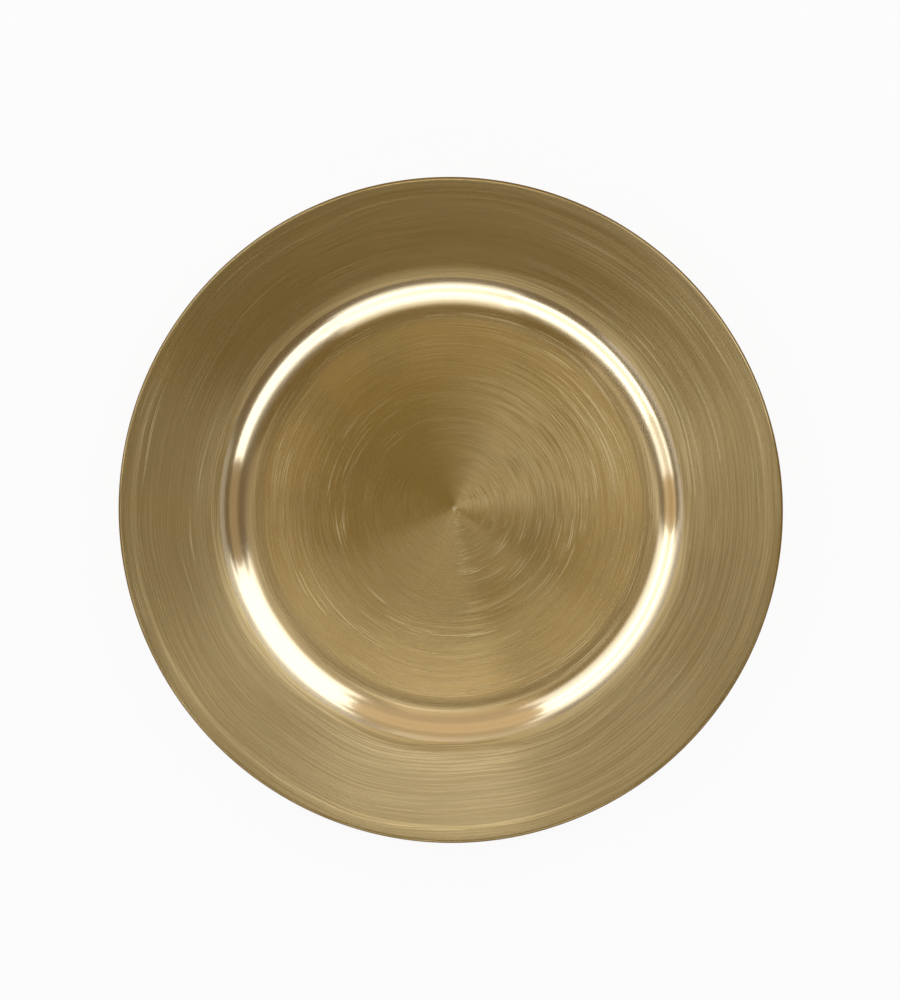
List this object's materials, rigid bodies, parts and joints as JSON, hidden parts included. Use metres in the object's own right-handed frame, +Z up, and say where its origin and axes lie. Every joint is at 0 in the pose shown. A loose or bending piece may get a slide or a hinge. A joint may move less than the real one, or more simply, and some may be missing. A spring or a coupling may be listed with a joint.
{
  "type": "charger plate",
  "caption": "Round charger plate with a flat sunk well, a rounded step, a wide rising rim and a flatter lip with a rounded edge, brushed gold on top and plain gold beneath, standing on a moulded foot ring.",
  "frame": {"origin": "centre of the plate on the plane of the foot ring's bearing face", "axes": "+Z up along the plate's axis of turning; X and Y across the plate"},
  "size_m": [0.33, 0.33, 0.022],
  "materials": {
    "moulded_plastic": "bare moulded plastic on the bearing face of the foot ring",
    "brushed_gold": "hand-brushed gold layer with strokes that run round the plate, under clear lacquer",
    "sprayed_gold": "plain sprayed metallic gold, satin"
  },
  "bodies": {
    "root": {"moulded_core": "moulded_plastic", "gold_face": "brushed_gold", "gold_back": "sprayed_gold", "gold_base": "sprayed_gold"}
  },
  "joints": []
}
